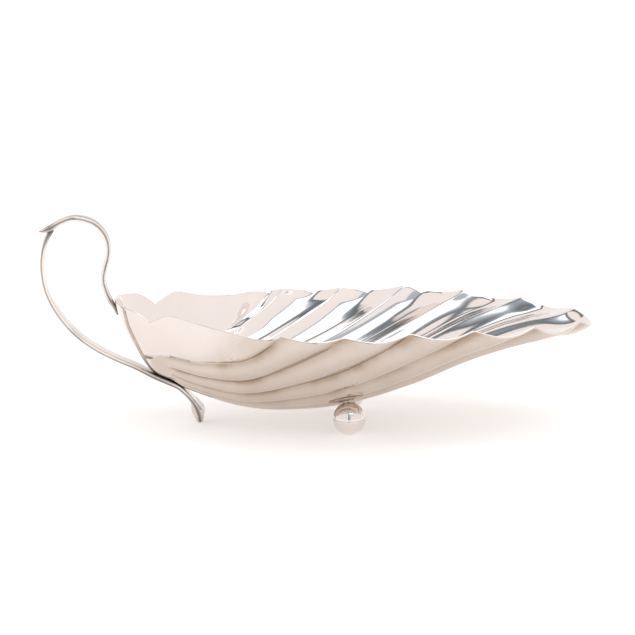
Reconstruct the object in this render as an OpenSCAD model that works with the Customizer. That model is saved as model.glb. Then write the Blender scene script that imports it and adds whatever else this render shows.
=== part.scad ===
// Fluted leaf-shaped sauce dish with a looped strap handle, a strap rear foot
// and two hollow ball feet. X runs from the handle to the tip, Y across, Z up.
// The dish stands on z = 0 and its bounding box is centred on x = 0, y = 0.

/* [Bowl] */
// Length of the bowl, from the handle joint to the root of the end flute's lip
bowl_length = 197; // [164:0.5:237]
// Greatest width across the flute ridges
bowl_width = 111.2; // [92.5:0.1:134]
// Depth of the flute ridges below the rim level, at the lowest station
bowl_depth = 38.6; // [32:0.1:46.5]
// Thickness of the sheet
wall = 1; // [0.8:0.05:1.4]
// How far a flute bulges out past its two ridges, where it is full size
flute_depth = 3.2; // [2.4:0.1:3.9]
// Radius of the arc round the handle joint where the flutes begin
root_radius = 24; // [20:0.5:29]
// Depth of the notch behind the handle end's side petals, as a share of the width
notch_depth = 0.085; // [0:0.005:0.12]

/* [Handle] */
// Rise of the loop's top above the handle joint
handle_rise = 33.5; // [28:0.1:40.5]
// Reach of the thumb spur behind the handle joint
handle_reach = 32.4; // [27:0.1:39]
// Width of the strap
strap_width = 8.6; // [7.2:0.1:10.4]
// Thickness of the strap at its crown
strap_thickness = 2.4; // [2:0.1:2.9]
// Depth of the two grooves that divide the strap into reeds
reed_depth = 0.3; // [0:0.05:0.4]

/* [Feet] */
// Diameter of each ball foot
ball_diameter = 13.6; // [11.3:0.1:16.4]
// Thickness of the ball's shell
ball_wall = 0.8; // [0.6:0.1:1.2]
// Diameter of the small flat that each ball stands on
ball_flat = 3; // [2:0.1:4]
// Least gap between a ball and the bowl, filled by the bracket's neck
foot_neck = 1.5; // [1.2:0.1:2.4]
// Least height of the bowl's keel above the table
keel_clearance = 3; // [2:0.1:4]
// Place of the ball feet along the bowl, ahead of the handle joint
foot_station = 95.7; // [80:0.1:115]
// Flute that carries a ball foot, counted from the ridge beside the end flute
foot_flute = 1.36; // [1.3:0.01:1.6]
// Length of the bracket's leaf-shaped plate
plate_length = 13; // [11:0.5:15.5]
// Thickness of the bracket's plate
plate_thickness = 0.8; // [0.6:0.1:1.2]
// Width of the spade at the end of the strap, which is the rear foot
spade_width = 11; // [9.2:0.1:13.2]

/* [Hidden] */

// Stations along the bowl: place as a share of the length, half width as a share of
// the greatest, rim height above the rim level in mm, ridge depth as a share of the depth.
STATIONS = [
    [0,     0,     6,    -0.155],
    [0.013, 0.216, 5.2,   0.091],
    [0.036, 0.331, 4.4,   0.324],
    [0.076, 0.414, 4.2,   0.627],
    [0.117, 0.504, 4,     0.736],
    [0.192, 0.737, 0.8,   0.876],
    [0.269, 0.896, -0.8,  0.974],
    [0.35,  0.96,  -0.1,  1],
    [0.48,  1,     -0.2,  0.922],
    [0.617, 0.96,  1,     0.681],
    [0.748, 0.824, 0.6,   0.373],
    [0.876, 0.608, -0.2,  0.161],
    [0.952, 0.39,  -1.2,  0.134],
    [0.974, 0.268, -1.6,  0.113],
    [1,     0,     -2,    0.052]];
// The sides fold in behind the first flute: place, and share of the width kept at the rim
PINCH = [[0.096, 1], [0.117, 0.97], [0.168, 0.84], [0.218, 0.84], [0.246, 0.88],
         [0.272, 0.975], [0.298, 1]];
// Where the ridges meet the rim, from the end flute back: half flute, seven ridges,
// the notch and the handle joint
RIDGES = [1, 0.974, 0.876, 0.748, 0.617, 0.48, 0.353, 0.272, 0.078, 0];
FIRST_RIDGE_ANGLE = 4.4;   // fan angle of the ridge beside the end flute
RIDGE_STEP = 6.6;          // fan angle between ridges
LAST_RIDGE = 5;            // the last ridge that reaches the root
SHOULDER = 6;              // the soft start of the first side flute
NOTCH = 7;
JOINT = 8;
FLUTE_SLOPE = 0.026;       // flute depth gained per mm from the handle joint
ROOT_RAMP = 2.5;           // the flutes reach their depth over this distance
POLE = [17, 0];            // where the mesh's columns meet, ahead of the handle joint
HEEL = 6.5;                // how far ahead of the joint the smooth heel patch begins
SHOULDER_BEND = [43, 29];  // the shoulder line bends round this point
NOTCH_REACH = 9;           // the notch's sides fade out over this distance

FLUTE_STEPS = 6;           // columns in a flute
PETAL_STEPS = 8;           // columns in each smooth petal
HEEL_ROWS = 2;
FLUTE_ROWS = 15;
STRAP_STEPS = 3;           // rings between two points of a strap's path
BRACKET_STEPS = 20;

joint_x = -83;             // the handle joint's place in the frame

// ---------------------------------------------------------------- small functions
function lerp(a, b, u) = a + (b - a) * u;
function clamp(v, lo, hi) = max(lo, min(hi, v));
function smooth(u) = let (c = clamp(u, 0, 1)) c * c * (3 - 2 * c);
function unit(v) = v / norm(v);
function column(table, i) = [for (row = table) row[i]];
function last(list) = list[len(list) - 1];

// A smooth curve through a table's values
function span(xs, x, i = 0) = (i >= len(xs) - 2 || x < xs[i + 1]) ? i : span(xs, x, i + 1);
function slope(xs, ys, i) =
    let (a = max(i - 1, 0), b = min(i + 1, len(xs) - 1)) (ys[b] - ys[a]) / (xs[b] - xs[a]);
function curve(xs, ys, x) =
    let (c = clamp(x, xs[0], last(xs)), i = span(xs, c), h = xs[i + 1] - xs[i], u = (c - xs[i]) / h)
    (2 * u^3 - 3 * u^2 + 1) * ys[i] + (u^3 - 2 * u^2 + u) * h * slope(xs, ys, i)
    + (3 * u^2 - 2 * u^3) * ys[i + 1] + (u^3 - u^2) * h * slope(xs, ys, i + 1);

// ---------------------------------------------------------------- the bowl's surface
// It is worked out ahead of the handle joint, with the rim level at z = 0.
station_x = column(STATIONS, 0) * bowl_length;
half_width_squared = [for (row = STATIONS) (row[1] * bowl_width / 2)^2];
rim_rise = column(STATIONS, 2);
ridge_keel = [for (row = STATIONS) -row[3] * bowl_depth];
pinch_x = column(PINCH, 0) * bowl_length;
pinch_share = column(PINCH, 1);
ridge_x = RIDGES * bowl_length;

function width_squared(x) = max(curve(station_x, half_width_squared, x), 0.000001);
function half_width(x) = sqrt(max(curve(station_x, half_width_squared, x), 0));

// A point of the surface that the ridges lie on, from its place in the open plan
function ridge_point(p) =
    let (g = min(p[1]^2 / width_squared(p[0]), 1.6),
         keel = curve(station_x, ridge_keel, p[0]),
         kept = 1 - (1 - curve(pinch_x, pinch_share, p[0])) * min(g, 1))
    [p[0], p[1] * kept, keel + (curve(station_x, rim_rise, p[0]) - keel) * g];

STEP = 0.02;
function surface_normal(p) =
    let (along = ridge_point(p + [STEP, 0]) - ridge_point(p - [STEP, 0]),
         across = ridge_point(p + [0, STEP]) - ridge_point(p - [0, STEP]))
    unit(cross(across, along));

// A column t runs from the pole over the root arc to the rim. Ridges are whole numbers.
function rim_x(t) =
    t < 0 ? lerp(ridge_x[1], ridge_x[0], 1 - (2 * t + 1)^2)
    : t > NOTCH ? ridge_x[8] * (JOINT - t)^1.7
    : let (i = min(floor(t), NOTCH - 1)) lerp(ridge_x[i + 1], ridge_x[i + 2], t - i);
function notch_share(x) =
    1 - notch_depth * max(0, 1 - abs(x - ridge_x[8]) / NOTCH_REACH)^1.4;
function rim_plan(t) = let (x = rim_x(t)) [x, half_width(x) * notch_share(x)];
function fan_angle(t) =
    t < 0 ? FIRST_RIDGE_ANGLE * (2 * t + 1) : FIRST_RIDGE_ANGLE + RIDGE_STEP * min(t, LAST_RIDGE);
function root_plan(t) =
    let (a = fan_angle(t), on_arc = root_radius * [cos(a), sin(a)],
         v = (t - LAST_RIDGE) / (JOINT - LAST_RIDGE))
    t <= LAST_RIDGE ? on_arc : [lerp(on_arc[0], HEEL, v), on_arc[1] * cos(90 * v)];
// Sideways bend of the columns round the shoulder line, nothing elsewhere
function bend(t) =
    t <= LAST_RIDGE || t >= NOTCH ? 0 : t < SHOULDER ? smooth(t - LAST_RIDGE) : smooth(NOTCH - t);
function column_middle(t) =
    (root_plan(t) + rim_plan(t)) / 2
    + bend(t) * (SHOULDER_BEND - (root_plan(SHOULDER) + rim_plan(SHOULDER)) / 2);
// v is 0 at the pole, 1 on the root arc and 2 at the rim
function plan(t, v) =
    v <= 1 ? lerp(POLE, root_plan(t), v)
    : let (f = v - 1)
      (1 - f)^2 * root_plan(t) + 2 * f * (1 - f) * column_middle(t) + f^2 * rim_plan(t);

// The flutes' depth at a place: sharp at each ridge, soft at the shoulder
function flute_form(t) =
    let (u = SHOULDER - t)
    t <= LAST_RIDGE ? abs(sin(180 * t)) : t >= SHOULDER ? 0 : sin(180 * u) * sqrt(smooth(u));
function full_depth(r) = min(FLUTE_SLOPE * r, flute_depth) * smooth((r - root_radius) / ROOT_RAMP);
function bulge(t, v) =
    full_depth(norm(plan(t, v))) * flute_form(t) * (t <= LAST_RIDGE ? 1 : smooth((v - 1.3) / 0.6));

// A point of the sheet, moved out from its middle by skin
function sheet(t, v, skin) =
    let (p = plan(t, v)) ridge_point(p) + (bulge(t, v) + skin) * surface_normal(p);
// A point below the keel line, at a place along the bowl
function keel_point(x, skin) =
    ridge_point([x, 0]) + (full_depth(x) + skin) * surface_normal([x, 0]);

// ---------------------------------------------------------------- heights and places
foot_v = 1 + (foot_station - root_plan(foot_flute)[0])
           / (rim_plan(foot_flute)[0] - root_plan(foot_flute)[0]);
foot_seat = sheet(foot_flute, foot_v, wall / 2);
foot_y = foot_seat[1];
ball_radius = ball_diameter / 2;
ball_centre = sqrt(ball_radius^2 - (ball_flat / 2)^2);   // its height over the flat
ball_top = ball_centre + ball_radius;
keel_depth = max([for (x = [0:bowl_length / 40:bowl_length]) -keel_point(x, wall / 2)[2]]);
rim_level = max(ball_top + foot_neck - foot_seat[2], keel_clearance + keel_depth);
foot_x = joint_x + foot_seat[0];
place = [joint_x, 0, rim_level];
joint_z = rim_level + rim_rise[0];

// ---------------------------------------------------------------- lofts
// A closed loft of rings that all have the same number of points, capped at both ends
module loft(rings) {
    n = len(rings[0]);
    count = len(rings);
    shares = [for (p = rings[0]) 1 / n];
    ends = [for (ring = [rings[0], last(rings)]) [for (k = [0:2]) [for (p = ring) p[k]] * shares]];
    points = concat([for (ring = rings) each ring], ends);
    sides = [for (i = [0:count - 2], j = [0:n - 1])
        let (a = i * n + j, b = i * n + (j + 1) % n) each [[a, b + n, b], [a, a + n, b + n]]];
    caps = [for (j = [0:n - 1]) each
        [[j, (j + 1) % n, count * n],
         [(count - 1) * n + (j + 1) % n, (count - 1) * n + j, count * n + 1]]];
    polyhedron(points = points, faces = concat(sides, caps));
}

// ---------------------------------------------------------------- bowl
half_columns = concat(
    [for (k = [0:FLUTE_STEPS / 2 - 1]) -0.5 + k / FLUTE_STEPS],
    [for (i = [0:SHOULDER - 1], k = [0:FLUTE_STEPS - 1]) i + k / FLUTE_STEPS],
    [for (i = [SHOULDER, NOTCH], k = [0:PETAL_STEPS - 1]) i + k / PETAL_STEPS]);
bowl_columns = concat(
    [for (t = half_columns) [t, 1]], [[JOINT, 1]],
    [for (i = [len(half_columns) - 1:-1:1]) [half_columns[i], -1]]);
bowl_rows = concat(
    [for (k = [1:HEEL_ROWS]) k / HEEL_ROWS], [for (k = [1:FLUTE_ROWS]) 1 + k / FLUTE_ROWS]);

function bowl_skin(skin) = concat(
    [place + ridge_point(POLE) + skin * surface_normal(POLE)],
    [for (v = bowl_rows, c = bowl_columns)
        let (p = sheet(c[0], v, skin)) place + [p[0], c[1] * p[1], p[2]]]);

module bowl() {
    n = len(bowl_columns);
    rows = len(bowl_rows);
    inside = 1 + rows * n;
    next = function (j) (j + 1) % n;
    outer = concat(
        [for (j = [0:n - 1]) [0, 1 + j, 1 + next(j)]],
        [for (i = [0:rows - 2], j = [0:n - 1])
            let (a = 1 + i * n + j, b = 1 + i * n + next(j)) each [[a, a + n, b + n], [a, b + n, b]]]);
    inner = [for (f = outer) [f[0] + inside, f[2] + inside, f[1] + inside]];
    edge = [for (j = [0:n - 1])
        let (a = 1 + (rows - 1) * n + j, b = 1 + (rows - 1) * n + next(j))
        each [[a, a + inside, b + inside], [a, b + inside, b]]];
    color("silver")
        polyhedron(points = concat(bowl_skin(wall / 2), bowl_skin(-wall / 2)),
                   faces = concat(outer, inner, edge));
}

// ---------------------------------------------------------------- handle straps
// Half of a strap's outline in its own section: across as a share of the half width,
// out as a share of the thickness, and the share of the reed groove's depth taken off.
STRAP_SECTION = [[-1, -0.1, 0], [-0.86, 0.28, 0], [-0.56, 0.43, 0], [-0.36, 0.46, 1],
                 [-0.2, 0.49, 0], [0.2, 0.49, 0], [0.36, 0.46, 1], [0.56, 0.43, 0],
                 [0.86, 0.28, 0], [1, -0.1, 0], [0.86, -0.42, 0], [0.3, -0.5, 0],
                 [-0.3, -0.5, 0], [-0.86, -0.42, 0]];

// A path's points and their tangents, from a few points [x, z, width, thickness, curl]
function path_value(path, u, i) =
    curve([for (k = [0:len(path) - 1]) k], column(path, i), u);
module strap(path, out) {
    steps = (len(path) - 1) * STRAP_STEPS;
    rings = [for (k = [0:steps])
        let (u = k / STRAP_STEPS,
             centre = [path_value(path, u, 0), path_value(path, u, 1)],
             ahead = [path_value(path, u + STEP, 0), path_value(path, u + STEP, 1)],
             behind = [path_value(path, u - STEP, 0), path_value(path, u - STEP, 1)],
             along = unit(ahead - behind),
             up = out * [-along[1], along[0]],
             width = path_value(path, u, 2), thick = path_value(path, u, 3),
             curl = path_value(path, u, 4))
        [for (s = STRAP_SECTION)
            let (n = s[1] * thick - s[2] * reed_depth - curl * s[0]^2)
            [centre[0] + up[0] * n, -out * s[0] * width / 2, centre[1] + up[1] * n]]];
    loft(rings);
}

// Places on the loop, as shares of its reach and rise from the handle joint
function loop_point(back, rise, width, thick) =
    [joint_x - back * handle_reach, joint_z + rise * handle_rise,
     width * strap_width, thick * strap_thickness, 0];
// A place on the strap where it lies against the bowl's back or keel
function seated(x, width, thick) =
    let (p = place + keel_point(x, wall / 2 + thick * strap_thickness / 2))
    [p[0], p[2], width * strap_width, thick * strap_thickness, 0];

upper_path = [
    seated(1.75, 0.16, 0.4),
    seated(0.9, 0.42, 0.7),
    loop_point(0.075, -0.01, 0.66, 0.95),
    loop_point(0.126, 0.12, 0.85, 1),
    loop_point(0.151, 0.25, 0.97, 1),
    loop_point(0.126, 0.39, 1, 1),
    loop_point(0.088, 0.53, 1, 1),
    loop_point(0.083, 0.67, 1, 1),
    loop_point(0.132, 0.81, 1, 1),
    loop_point(0.24, 0.925, 1, 1),
    loop_point(0.38, 0.985, 1, 1),
    loop_point(0.53, 1, 1, 1),
    loop_point(0.67, 0.955, 1, 1),
    loop_point(0.8, 0.885, 0.95, 1),
    loop_point(0.91, 0.84, 0.66, 0.75),
    loop_point(0.995, 0.828, 0.2, 0.35)];

lower_path = [
    loop_point(0.8, 0.845, 0.75, 0.8),
    loop_point(0.868, 0.73, 0.9, 1),
    loop_point(0.915, 0.55, 1, 1),
    loop_point(0.923, 0.35, 1, 1),
    loop_point(0.888, 0.135, 1, 1),
    loop_point(0.81, -0.06, 1, 1),
    loop_point(0.7, -0.235, 1, 1),
    loop_point(0.56, -0.4, 1, 1),
    loop_point(0.39, -0.545, 1, 1),
    loop_point(0.19, -0.67, 1, 1),
    loop_point(-0.03, -0.775, 1, 1),
    loop_point(-0.26, -0.87, 1, 1),
    seated(16.8, 1, 1),
    seated(22.5, 1, 1),
    seated(27.5, 1, 1),
    [joint_x + 31.9, 0.7 * ball_diameter, 1.06 * strap_width, 1.05 * strap_thickness, 0.3],
    [joint_x + 33.9, 0.4 * ball_diameter, spade_width, 1.3 * strap_thickness, 1.6],
    [joint_x + 34.2, -0.1 * ball_diameter, 0.6 * spade_width, 1.2 * strap_thickness, 1.2]];

module upper_handle_strap() {
    color("silver") strap(upper_path, -1);
}

module lower_handle_strap() {
    color("silver") difference() {
        strap(lower_path, -1);
        // its upper end is fitted to the underside of the thumb spur
        strap(upper_path, -1);
        // the spade's end is filed flat where it stands
        translate([joint_x, -spade_width, -ball_diameter])
            cube([bowl_length, 2 * spade_width, ball_diameter]);
    }
}

// ---------------------------------------------------------------- ball feet
// The bracket: a neck that sits on the ball, opening into a leaf-shaped plate on the flute
plate_half = plate_length / 2;
PLATE_HALF_WIDTH = 0.34;     // half width of the plate, as a share of a flute
neck_radius = 0.3 * ball_radius;
neck_foot_radius = 0.42 * ball_radius;
function on_plate(a, share, skin) =
    let (tip = 1 - 0.25 * sin(a)^2,
         t = foot_flute + share * PLATE_HALF_WIDTH * sin(a) * tip,
         dv = share * plate_half * cos(a) * (0.75 + 0.25 * abs(cos(a)))
              / (rim_plan(foot_flute)[0] - root_plan(foot_flute)[0]))
    place + sheet(t, foot_v + dv, wall / 2 + skin);
// The neck's lower end is a cup over the ball, with a thin gap for the solder
SOLDER_GAP = 0.1;
function on_ball(share) = sqrt(ball_radius^2 - (share * neck_foot_radius)^2) + ball_centre;
function round_neck(a, r, z) = [foot_x + r * cos(a), foot_y + r * sin(a), z];

module foot_bracket() {
    angles = [for (k = [0:BRACKET_STEPS - 1]) k * 360 / BRACKET_STEPS];
    rings = [
        [for (a = angles) round_neck(a, 0.4 * neck_foot_radius, on_ball(0.4) + SOLDER_GAP)],
        [for (a = angles) round_neck(a, 0.8 * neck_foot_radius, on_ball(0.8) + SOLDER_GAP)],
        [for (a = angles) round_neck(a, neck_foot_radius, on_ball(1))],
        [for (a = angles) round_neck(a, neck_radius, ball_top + 0.3 * foot_neck)],
        [for (a = angles) on_plate(a, 0.42, plate_thickness)],
        [for (a = angles) on_plate(a, 0.75, plate_thickness)],
        [for (a = angles) on_plate(a, 1, 0.5 * plate_thickness)],
        [for (a = angles) on_plate(a, 1, 0)],
        [for (a = angles) on_plate(a, 0.66, 0)],
        [for (a = angles) on_plate(a, 0.33, 0)]];
    color("silver") loft(rings);
}

// Half of the hollow ball, above or below its seam
module ball_half(top) {
    block = 2 * ball_diameter;
    color("silver") translate([foot_x, foot_y, ball_centre]) difference() {
        sphere(r = ball_radius, $fn = 96);
        sphere(r = ball_radius - ball_wall, $fn = 96);
        translate([-ball_diameter, -ball_diameter, top ? -block : 0]) cube(block);
        // the flat that the ball stands on
        if (!top)
            translate([-ball_diameter, -ball_diameter, -ball_centre - block]) cube(block);
    }
}

module right_side() { mirror([0, 1, 0]) children(); }
module left_foot_bracket() { foot_bracket(); }
module right_foot_bracket() { right_side() foot_bracket(); }
module left_ball_top() { ball_half(true); }
module left_ball_base() { ball_half(false); }
module right_ball_top() { right_side() ball_half(true); }
module right_ball_base() { right_side() ball_half(false); }

bowl();
upper_handle_strap();
lower_handle_strap();
left_foot_bracket();
right_foot_bracket();
left_ball_top();
left_ball_base();
right_ball_top();
right_ball_base();
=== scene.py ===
from math import cos, pi, radians, sin, sqrt
import bmesh
import bpy
import numpy as np
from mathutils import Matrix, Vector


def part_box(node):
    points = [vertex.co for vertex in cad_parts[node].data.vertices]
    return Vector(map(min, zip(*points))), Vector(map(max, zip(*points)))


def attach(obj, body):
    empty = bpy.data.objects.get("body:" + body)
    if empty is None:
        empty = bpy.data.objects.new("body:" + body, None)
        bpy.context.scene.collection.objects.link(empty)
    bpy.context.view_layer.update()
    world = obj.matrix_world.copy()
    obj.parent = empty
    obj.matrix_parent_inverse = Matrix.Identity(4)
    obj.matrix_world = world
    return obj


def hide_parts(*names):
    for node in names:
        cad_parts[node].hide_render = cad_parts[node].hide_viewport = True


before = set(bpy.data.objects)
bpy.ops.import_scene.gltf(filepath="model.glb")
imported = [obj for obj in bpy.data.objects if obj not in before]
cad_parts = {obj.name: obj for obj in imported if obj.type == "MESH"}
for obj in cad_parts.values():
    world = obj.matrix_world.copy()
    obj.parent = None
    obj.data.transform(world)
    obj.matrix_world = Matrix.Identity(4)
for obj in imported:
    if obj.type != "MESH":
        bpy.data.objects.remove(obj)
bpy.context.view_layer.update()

# Lengths are in millimetres in the tables and formulas below, and in metres in Blender.
MM = 0.001
SMALL = 1e-6

# ------------------------------------------------------------------ sizes of the dish
BOWL_LENGTH = 197
BOWL_WIDTH = 111.2
BOWL_DEPTH = 38.6
WALL = 1.0
# A flute deepens with its distance from the handle joint, by the slope, up to the full depth
FLUTE_DEPTH = 3.2
FLUTE_SLOPE = 0.026
RIDGE_SOFTNESS = 0.1
# Under the rim the sheet swells: a share of the flute's depth and an amount of its own,
# between these rows, where row 2 is the rim
FLUTE_SWELL = 0.05
RIM_SWELL = 1.0
SWELL_BEGIN = 1.4
SWELL_TOP = 1.92
SWELL_TURN = 0.035
# The arc where the flutes begin, and how far on they reach their full form
ROOT_RADIUS = 24
ROOT_RAMP = 6
# The notch in the rim beside the handle, and how the rim bends round the handle joint
NOTCH_DEPTH = 0.085
NOTCH_REACH = 9
NOTCH_POWER = 1.4
HEEL_POWER = 1.7
# Rows in which the shoulder's flute comes up softly
SOFT_BEGIN = 1.3
SOFT_RAMP = 0.6
HANDLE_RISE = 33.5
HANDLE_REACH = 32.4
STRAP_WIDTH = 8.6
STRAP_THICKNESS = 2.4
REED_DEPTH = 0.3
SPADE_WIDTH = 11
BALL_RADIUS = 6.8
BALL_WALL = 0.8
FOOT_STATION = 95.7
FOOT_FLUTE = 1.36
PLATE_LENGTH = 13
PLATE_THICKNESS = 0.8

# Places along the bowl as shares of its length, with the half width as a share of the
# greatest, the rim's height over the rim level, and the depth as a share of the greatest
STATIONS = np.array([
    [0, 0, 6, -0.155], [0.013, 0.216, 5.2, 0.091], [0.036, 0.331, 4.4, 0.324],
    [0.076, 0.414, 4.2, 0.627], [0.117, 0.504, 4, 0.736], [0.192, 0.737, 0.8, 0.876],
    [0.269, 0.896, -0.8, 0.974], [0.35, 0.96, -0.1, 1], [0.48, 1, -0.2, 0.922],
    [0.617, 0.96, 1, 0.681], [0.748, 0.824, 0.6, 0.373], [0.876, 0.608, -0.2, 0.161],
    [0.952, 0.39, -1.2, 0.134], [0.974, 0.268, -1.6, 0.113], [1, 0, -2, 0.052]])
# Places along the bowl, with the share of its width that the rim keeps at the waist
PINCH = np.array([
    [0, 1], [0.05, 1], [0.096, 1], [0.117, 0.97], [0.168, 0.84], [0.218, 0.84],
    [0.246, 0.88], [0.272, 0.975], [0.298, 1], [0.35, 1], [0.6, 1], [1, 1]])
# Where the ridges meet the rim, as shares of the bowl's length, from the tip to the handle joint
RIDGES = np.array([1, 0.974, 0.876, 0.748, 0.617, 0.48, 0.353, 0.272, 0.078, 0])
NOTCH_X = RIDGES[8] * BOWL_LENGTH
# Angles of the ridges at their root, in degrees from the keel
FIRST_RIDGE_ANGLE = 4.4
RIDGE_STEP = 6.6
# Columns are counted t = 0, 1, 2 from the first ridge beside the tip. These are the last ridge
# that starts at the root, the shoulder, the notch in the rim, and the handle joint.
LAST_RIDGE = 5
SHOULDER = 6
NOTCH = 7
JOINT = 8
# The point on the keel where all columns meet, the root's place at the handle joint, and a
# point that the shoulder's column bends through
POLE = (17, 0)
HEEL = 6.5
SHOULDER_BEND = (43, 29)


# ------------------------------------------------------------------ curves and the sheet
def curve(places, values):
    """A smooth curve through a table, with each slope taken from the two neighbours."""
    x, y = np.array(places, float), np.array(values, float)
    slope = np.gradient(y, x, edge_order=1)
    slope[1:-1] = (y[2:] - y[:-2]) / (x[2:] - x[:-2])

    def value(at):
        at = np.clip(at, x[0], x[-1])
        i = np.clip(np.searchsorted(x, at, side="right") - 1, 0, len(x) - 2)
        h = x[i + 1] - x[i]
        u = (at - x[i]) / h
        return ((2 * u**3 - 3 * u**2 + 1) * y[i] + (u**3 - 2 * u**2 + u) * h * slope[i]
                + (3 * u**2 - 2 * u**3) * y[i + 1] + (u**3 - u**2) * h * slope[i + 1])

    return value


def smooth(u):
    u = np.clip(u, 0, 1)
    return u * u * (3 - 2 * u)


def unit(v):
    return v / np.linalg.norm(v, axis=-1, keepdims=True)


def mixed(a, b, u):
    return a + (b - a) * u


# The ridge surface ends a little beyond the rim, at MOST_SHARE of the half width's square
MOST_SHARE = 1.6
station_x = STATIONS[:, 0] * BOWL_LENGTH
width_squared = curve(station_x, (STATIONS[:, 1] * BOWL_WIDTH / 2) ** 2)
rim_rise = curve(station_x, STATIONS[:, 2])
keel_depth = curve(station_x, STATIONS[:, 3] * BOWL_DEPTH)
kept_width = curve(PINCH[:, 0] * BOWL_LENGTH, PINCH[:, 1])


def half_width(x):
    """Half the bowl's width at the rim."""
    return np.sqrt(np.maximum(width_squared(x), 0))


def on_ridges(x, y):
    """The smooth surface that the ridges lie on, ahead of the handle joint."""
    share = np.minimum(y * y / np.maximum(width_squared(x), SMALL), MOST_SHARE)
    kept = 1 - (1 - kept_width(x)) * np.minimum(share, 1)
    keel = -keel_depth(x)
    return np.stack([x, y * kept, keel + (rim_rise(x) - keel) * share], -1)


def outward(x, y, step=0.02):
    """The direction straight out of the ridge surface."""
    along = on_ridges(x + step, y) - on_ridges(x - step, y)
    across = on_ridges(x, y + step) - on_ridges(x, y - step)
    return unit(np.cross(across, along))


def rim_x(t):
    """How far along the bowl column t meets the rim."""
    places = np.interp(t, np.arange(0, JOINT + 1), RIDGES[1:] * BOWL_LENGTH)
    end = mixed(RIDGES[1], RIDGES[0], 1 - (2 * t + 1) ** 2) * BOWL_LENGTH
    heel = NOTCH_X * np.clip(JOINT - t, 0, 1) ** HEEL_POWER
    return np.where(t < 0, end, np.where(t > NOTCH, heel, places))


def rim_plan(t):
    """Where column t meets the rim, seen from above."""
    x = rim_x(t)
    notch = np.maximum(0, 1 - np.abs(x - NOTCH_X) / NOTCH_REACH) ** NOTCH_POWER
    return np.stack([x, half_width(x) * (1 - NOTCH_DEPTH * notch)], -1)


def root_plan(t):
    """Where column t's flute begins, seen from above."""
    degrees = np.where(t < 0, FIRST_RIDGE_ANGLE * (2 * t + 1),
                       FIRST_RIDGE_ANGLE + RIDGE_STEP * np.minimum(t, LAST_RIDGE))
    x, y = ROOT_RADIUS * np.cos(np.radians(degrees)), ROOT_RADIUS * np.sin(np.radians(degrees))
    v = np.clip((t - LAST_RIDGE) / (JOINT - LAST_RIDGE), 0, 1)
    return np.stack([mixed(x, HEEL, v), y * np.cos(v * pi / 2)], -1)


def plan(t, v):
    """Where column t meets row v: v is 0 at the pole, 1 where flutes begin, 2 at the rim."""
    t, v = np.broadcast_arrays(np.asarray(t, float), np.asarray(v, float))
    root, rim = root_plan(t), rim_plan(t)
    bend = np.where(t < SHOULDER, smooth(t - LAST_RIDGE), smooth(NOTCH - t))[..., None]
    at_bend = (root_plan(np.array(float(SHOULDER))) + rim_plan(np.array(float(SHOULDER)))) / 2
    middle = (root + rim) / 2 + bend * (np.array(SHOULDER_BEND) - at_bend)
    f = np.clip(v - 1, 0, 1)[..., None]
    ahead = (1 - f) ** 2 * root + 2 * f * (1 - f) * middle + f**2 * rim
    return np.where(v[..., None] <= 1, mixed(np.array(POLE), root, v[..., None]), ahead)


def flute_begin(t, v, reach):
    """0 where the sheet is plain, 1 where the flutes are at their full form."""
    ramp = smooth((reach - ROOT_RADIUS) / ROOT_RAMP) * (v > 1)
    soft = np.sqrt(smooth(SHOULDER - t)) * smooth((v - SOFT_BEGIN) / SOFT_RAMP)
    return ramp * np.where(t <= LAST_RIDGE, 1, soft)


def swell(v):
    """The share of its swell that the sheet has in row v. It stands out furthest a little
    under the rim, so the rim itself turns up."""
    rise = smooth((v - SWELL_BEGIN) / (SWELL_TOP - SWELL_BEGIN))
    past = np.maximum(v - SWELL_TOP, 0)
    turned = np.where(past < SWELL_TURN, past**2 / (2 * SWELL_TURN), past - SWELL_TURN / 2)
    return rise * (1 - turned / (2 - SWELL_TOP - SWELL_TURN / 2))


def bulge(t, v, reach):
    """How far the sheet's middle stands out from the surface of the ridges."""
    rounded = np.sqrt(np.sin(pi * t) ** 2 + RIDGE_SOFTNESS**2) - RIDGE_SOFTNESS
    form = rounded / (sqrt(1 + RIDGE_SOFTNESS**2) - RIDGE_SOFTNESS)
    depth = np.minimum(FLUTE_SLOPE * reach, FLUTE_DEPTH) * (1 + FLUTE_SWELL * swell(v))
    return (depth * form + RIM_SWELL * swell(v)) * flute_begin(t, v, reach)


def sheet(t, v, skin):
    """A point of the bowl's sheet, moved out from its middle by skin."""
    p = plan(t, v)
    x, y = p[..., 0], p[..., 1]
    reach = np.hypot(x, y)
    out = bulge(t, v, reach) + skin
    return on_ridges(x, y) + out[..., None] * outward(x, y)


# The bowl's place in the frame: its formula's lowest and foremost points meet the CAD box
bowl_low, bowl_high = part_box("bowl")
columns = np.linspace(-0.5, JOINT, 400)
outside = sheet(columns[None, :], np.linspace(0, 2, 160)[:, None], WALL / 2)
PLACE = np.array([bowl_high.x / MM - outside[..., 0].max(), 0,
                  bowl_low.z / MM - outside[..., 2].min()])


# ------------------------------------------------------------------ node trees in Python
# The Mix node's colour sockets by number, because its names are shared by several sockets
MIX_FIRST = 6
MIX_SECOND = 7
MIX_RESULT = 2


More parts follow.
